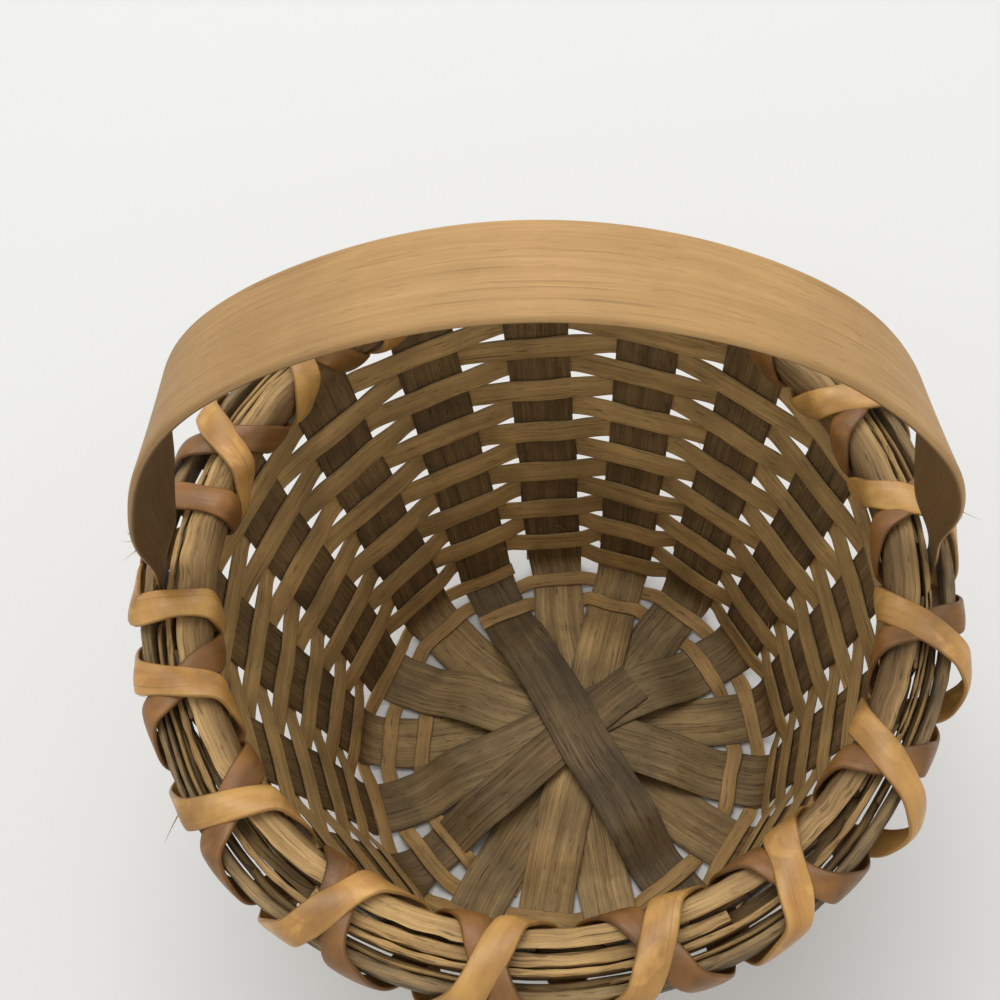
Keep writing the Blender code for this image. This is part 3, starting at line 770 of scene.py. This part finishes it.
# %% The way round the rim's section
def round_the_rim(depth, corner, samples=400):
    """A rounded rectangle depth metres out from the sticks, from below, up the inside and over.

    Returns functions of the share of the way round that give radius and height.
    """
    half_width = (rim_outer_radius - rim_inner_radius) / 2 + depth
    half_height = hoop_height / 2 + depth
    turn = np.linspace(0, tau, samples + 1)
    straight_w, straight_h = half_width - corner, half_height - corner
    across = -np.clip(1.5 * np.sin(turn), -1, 1) * straight_w - corner * np.sin(turn)
    high = -np.clip(1.5 * np.cos(turn), -1, 1) * straight_h - corner * np.cos(turn)
    lengths = np.hypot(np.diff(across), np.diff(high))
    share = np.concatenate(([0], np.cumsum(lengths))) / lengths.sum()
    return lambda s: np.array((rim_middle_radius + np.interp(s, share, across),
                               hoop_middle + np.interp(s, share, high)))


rim_middle_radius = (rim_outer_radius + rim_inner_radius) / 2
near_corner, far_corner = 0.0034, 0.0041
near_way = round_the_rim(joint_gap + lashing_slack + lashing_thickness / 2, near_corner)
far_way = round_the_rim(2 * joint_gap + lashing_slack + 1.5 * lashing_thickness, far_corner)


# %% Wind the strips
def lashing(name, direction, over, foot_wrap, loose, width, material, number):
    """direction is 1 for clockwise.  over lifts the strip at the crossings above and below.

    foot_wrap stays beside a handle's foot before it moves on; loose gives wraps their bulges.
    """
    total = np.linspace(0, stake_count, stake_count * 110 + 1)
    wrap = np.minimum(np.floor(total), stake_count - 1)
    share = total - wrap
    near, far = near_way(share), far_way(share)
    crossing = over * (0.5 + 0.5 * np.cos(2 * tau * share))
    radius, height = near + (far - near) * crossing
    advance = np.where(wrap == foot_wrap, np.interp(share, (0, 0.62, 1), (0, 0.07, 1)), share)
    gap_angle = stake_angle(0) - stake_step / 2
    drift = 0.014 * wander(total, number + 7, 2.3)
    angle = gap_angle - direction * stake_step * (wrap + advance) + drift
    outer_side = np.exp(-((share - 0.75) / 0.11) ** 2)
    for place, bulge in loose.items():
        radius = radius + bulge * outer_side * (wrap == place)
    outside_share = np.clip(0.5 - 0.7 * np.sin(tau * share), 0, 1)
    radius = radius + swell(angle) * outside_share - belly(angle) * (1 - outside_share)
    line = place_at(angle, radius, height)
    path, _, along = carry(line, line, step=0.0009, reach=0.0045)
    tangent = unit(np.gradient(path, axis=0))
    centre = unit(path * (1, 1, 0)) * rim_middle_radius + hoop_middle * up
    away = unit(path - centre)
    wide = unit(np.cross(away, tangent))
    kernel = np.hanning(9) / np.hanning(9).sum()
    wide = unit(np.stack([np.convolve(np.pad(column, 4, "edge"), kernel, "valid")
                          for column in wide.T], axis=1))
    widths = width + 0.0007 * wander(along, number, 0.025)
    profile = strip_profile(width, lashing_thickness, 9)
    rings = strip_rings(path, wide, widths, lashing_thickness, profile, cup=0.0006)
    shade = 1 + 0.10 * wander(along, number + 1, 0.02)
    edge = 1 - 0.35 * (np.abs(profile[0]) > 0.93)
    tint = shade[:, None, None] * edge[None, :, None]
    make_piece(name, rings, material, [name], tint=tint, seed=number)


loose_wraps = {6: 0.0038, 5: 0.0026}
lashing("lashing_dark", -1, 0.0, stake_count - handle_stake, {}, 0.0064, dark_bark, 41)
lashing("lashing_light", 1, 1.0, handle_stake - 1, loose_wraps, 0.0066, light_bark, 42)

# %% [markdown]
# ## The handle
# One wide band of pale wood, bent while it was green.  It is half an ellipse with slightly full
# shoulders on two straight legs, and the legs taper to tips that stand in the slot between two of
# the rim's sticks.  Each leg is shaved thinner, leans in a little above the rim and has taken a
# twist towards the front, so it is modelled as a strip whose width direction turns about the
# upright as it climbs.  Its inner face is darker, and it darkens towards the legs, the left one
# most: both are painted shade.

# %% Bend the handle
handle_width, handle_tip_width, handle_taper_length = 0.0185, 0.0050, 0.045
handle_top, shoulder_fullness, leg_twist = 0.217, 0.0016, math.radians(18)
left_lean, right_lean, leg_thinning = 0.0042, 0.0034, 0.5
painted_inner_shade = np.array((0.36, 0.34, 0.31))
leg_radius = slot_inner + handle_thickness / 2
rise = handle_top - handle_thickness / 2 - rim_height
tip_height = hoop_bottom + 0.0008
turn = np.linspace(0, math.pi, 400)
fullness = shoulder_fullness * np.sin(2 * turn) ** 2
arch = np.stack(((leg_radius + fullness) * np.cos(turn), 0 * turn,
                 rim_height + (rise + fullness) * np.sin(turn)), axis=1)
legs = np.linspace(tip_height, rim_height, 20)[:-1]
leg = np.stack((0 * legs + leg_radius, 0 * legs, legs), axis=1)
line = np.concatenate((leg, arch, (leg * (-1, 1, 1))[::-1]))
climb = (line[:, 2] - tip_height) / (handle_top - tip_height)
above_rim = 1 - fall(climb, 0.03, 0.2)
twist = leg_twist * above_rim * fall(climb, 0.35, 0.5)
lean = np.where(line[:, 0] < 0, left_lean * fall(climb, 0.38, 0.42),
                right_lean * fall(climb, 0.22, 0.35))
line[:, 0] -= np.sign(line[:, 0]) * lean * above_rim
wide = np.stack((-np.sin(twist) * np.sign(line[:, 0]), np.cos(twist), 0 * twist), axis=1)
path, wide, along = carry(line, wide, step=0.001, reach=0.004)
share = np.clip((path[:, 2] - tip_height) / handle_taper_length, 0, 1)
width = handle_tip_width + (handle_width - handle_tip_width) * share * share * (3 - 2 * share)
width = width + 0.0003 * wander(along, 60, 0.09)
path = path + wide * 0.0003 * wander(along, 61, 0.12)[:, None]
profile = strip_profile(handle_width, handle_thickness, flats=15, eased=6)
thickness = handle_thickness * (1 - leg_thinning * fall(path[:, 2], 0.125, 0.045))
rings = strip_rings(path, wide, width, thickness, profile)
# Painted shade: the inner face is darkened, and the band darkens towards its sides, the left leg
# most.
inner_share = np.clip(profile[1] / 0.6, 0, 1)[None, :, None]
sideways = path[:, 0] / leg_radius
darker = 1 - 0.27 * np.clip(-sideways, 0, 1) - 0.05 * np.clip(sideways, 0, 1)
shade = (darker * (1 + 0.05 * wander(along, 62, 0.05)))[:, None, None]
tint = shade * (1 + inner_share * (painted_inner_shade - 1))
make_piece("handle_band", rings, handle_wood, ["handle_band"], tint=tint, seed=60)

# %% [markdown]
# ## Frayed fibres
# Dry split wood frays.  Hairs stand out from the sticks, from the inside of the weave and from
# the handle's edges.  Each is a thin tapering tube along a curve, start + reach * t + curl * t
# squared, and all of them are one object with four sides to a hair.

# %% One hair
def hair(start, reach, curl, thickness):
    """A four-sided tube that tapers along start + reach * t + curl * t * t."""
    t = np.linspace(0, 1, 9)[:, None]
    line = start + reach * t + curl * t * t
    wide = np.tile(unit(np.cross(reach, (0.3, 0.5, 0.8))), (9, 1))
    taper = thickness * (1.1 - t[:, 0])
    return strip_rings(line, wide, taper, taper,
                       (np.array((-1, 0, 1, 0)), np.array((0, 1, 0, -1))))


# %% Hairs on the rim's sticks and the handle's edges, and one long one
rim_hairs, edge_hairs, weave_hairs = 60, 26, 110
stick_radii = (rim_inner_radius + 0.001, filler_inner + 0.0008, rim_outer_radius - 0.0008)
rng = np.random.default_rng(11)
hairs = []
for angle in rng.uniform(0, tau, rim_hairs):
    radius = rng.choice(stick_radii)
    radius += swell(angle) * (radius > filler_inner)
    height = hoop_middle + 0.0025 + 0.0015 * (radius < filler_inner)
    reach = rng.uniform(0.002, 0.005) * (rng.choice((-1, 1)) * around_at(angle)
                                         + rng.uniform(-0.1, 0.5) * outward_at(angle)
                                         + rng.uniform(0.05, 0.4) * up)
    hairs.append(hair(place_at(angle, radius, height), reach, rng.uniform(-0.002, 0.002, 3),
                      rng.uniform(0.00012, 0.00026)))
for share in rng.uniform(0, 0.16, edge_hairs):
    place = int(share * len(path))
    place = len(path) - 1 - place if rng.random() < 0.7 else place
    side = rng.choice((-1, 1))
    start = path[place] + side * wide[place] * width[place] * 0.49
    reach = rng.uniform(0.001, 0.003) * (side * wide[place] * 0.5
                                         + rng.uniform(-1, 1, 3) * (0.6, 0.4, 1))
    outward = np.sign(path[place, 0]) * np.array((1.0, 0, 0))
    hairs.append(hair(start, reach + 0.0012 * outward, rng.uniform(-0.0015, 0.0015, 3), 0.00012))
long_hair = math.radians(213)
hairs.append(hair(place_at(long_hair, rim_outer_radius, 0.1140),
                  0.012 * (0.6 * outward_at(long_hair) - 0.6 * up), np.array((0, -0.003, 0)),
                  0.0004))
hair_tones = [(0.6, 0.55, 0.5)] * len(hairs)

# %% Hairs inside the weave
for angle, run in zip(rng.uniform(0, tau, weave_hairs),
                      rng.uniform(turn_end + 0.003, wall_end, weave_hairs)):
    radius, height = stake_profile(run)
    reach = rng.uniform(0.002, 0.0045) * (rng.choice((-1, 1)) * around_at(angle)
                                          - rng.uniform(0.1, 0.6) * outward_at(angle)
                                          + rng.uniform(-0.5, 0.5) * up)
    hairs.append(hair(place_at(angle, radius - 0.0009, height), reach,
                      rng.uniform(-0.0015, 0.0015, 3), 0.00016))
hair_tones += [(1.0, 0.95, 0.85)] * weave_hairs
make_piece("frayed_fibres", hairs, hoop_wood, tint=hair_tones, seed=70)
print("hairs:", len(hairs))

# %% [markdown]
# ## Floor, light and camera
# The basket stands on a plain pale floor under soft, even light.  A big lamp above and behind it
# throws a soft shadow to the front, and the pale world fills the rest.  The camera looks down
# into the basket from the front.

# %% The floor
floor_half = 3.0
floor_mesh = bpy.data.meshes.new("floor")
floor_mesh.from_pydata(np.array(((-1, -1, 0), (1, -1, 0), (1, 1, 0), (-1, 1, 0))) * floor_half,
                       [], [(0, 1, 2, 3)])
paper = bpy.data.materials.new("pale_floor")
paper.use_nodes = True
paper_shader = paper.node_tree.nodes["Principled BSDF"]
paper_shader.inputs["Base Color"].default_value = (0.73, 0.73, 0.715, 1)
paper_shader.inputs["Roughness"].default_value = 0.9
floor_mesh.materials.append(paper)
floor = bpy.data.objects.new("floor", floor_mesh)
bpy.context.scene.collection.objects.link(floor)

# %% The light
world = bpy.data.worlds.new("studio")
world.use_nodes = True
bpy.context.scene.world = world
sky = world.node_tree.nodes["Background"]
sky.inputs["Color"].default_value = (1.0, 1.0, 1.0, 1)
sky.inputs["Strength"].default_value = 0.8
lamp_place, lamp_aim = np.array((-0.08, 0.45, 1.3)), np.array((0, 0, 0.08))
lamp_data = bpy.data.lights.new("key_lamp", "AREA")
lamp_data.size, lamp_data.energy = 0.9, 8.5
lamp = bpy.data.objects.new("key_lamp", lamp_data)
bpy.context.scene.collection.objects.link(lamp)
back = unit(lamp_place - lamp_aim)
lamp.location = lamp_place
lamp.rotation_euler = (math.acos(back[2]), 0, math.atan2(back[0], -back[1]))

# %% The camera, in pixels, radians and metres
picture, focal, centre_x, centre_y = 1000, 1368.4, 600.0, 500.0
yaw, pitch, roll = 0.0076, 1.0695, -0.0242
camera_place = (0.0102, -0.1262, 0.3761)
forward = np.array((math.sin(yaw) * math.cos(pitch), math.cos(yaw) * math.cos(pitch),
                    -math.sin(pitch)))
right = np.array((math.cos(yaw), -math.sin(yaw), 0))
above = np.cross(right, forward)
turned_right = math.cos(roll) * right + math.sin(roll) * above
turned_up = math.cos(roll) * above - math.sin(roll) * right
lens = bpy.data.cameras.new("camera")
lens.lens = focal * lens.sensor_width / picture
lens.shift_x, lens.shift_y = 0.5 - centre_x / picture, centre_y / picture - 0.5
camera = bpy.data.objects.new("camera", lens)
bpy.context.scene.collection.objects.link(camera)
matrix = np.eye(4)
matrix[:3] = np.stack((turned_right, turned_up, -forward, camera_place), axis=1)
camera.matrix_world = matrix.T.tolist()
bpy.context.scene.camera = camera
bpy.context.scene.view_settings.view_transform = "Standard"

# %% [markdown]
# ## The end
# The last cell validates every new mesh and prints how many pieces and faces there are.

# %% Validate and count the pieces
for thing in made:
    thing.data.validate()
print("pieces:", len(made), "faces:", sum(len(thing.data.polygons) for thing in made))
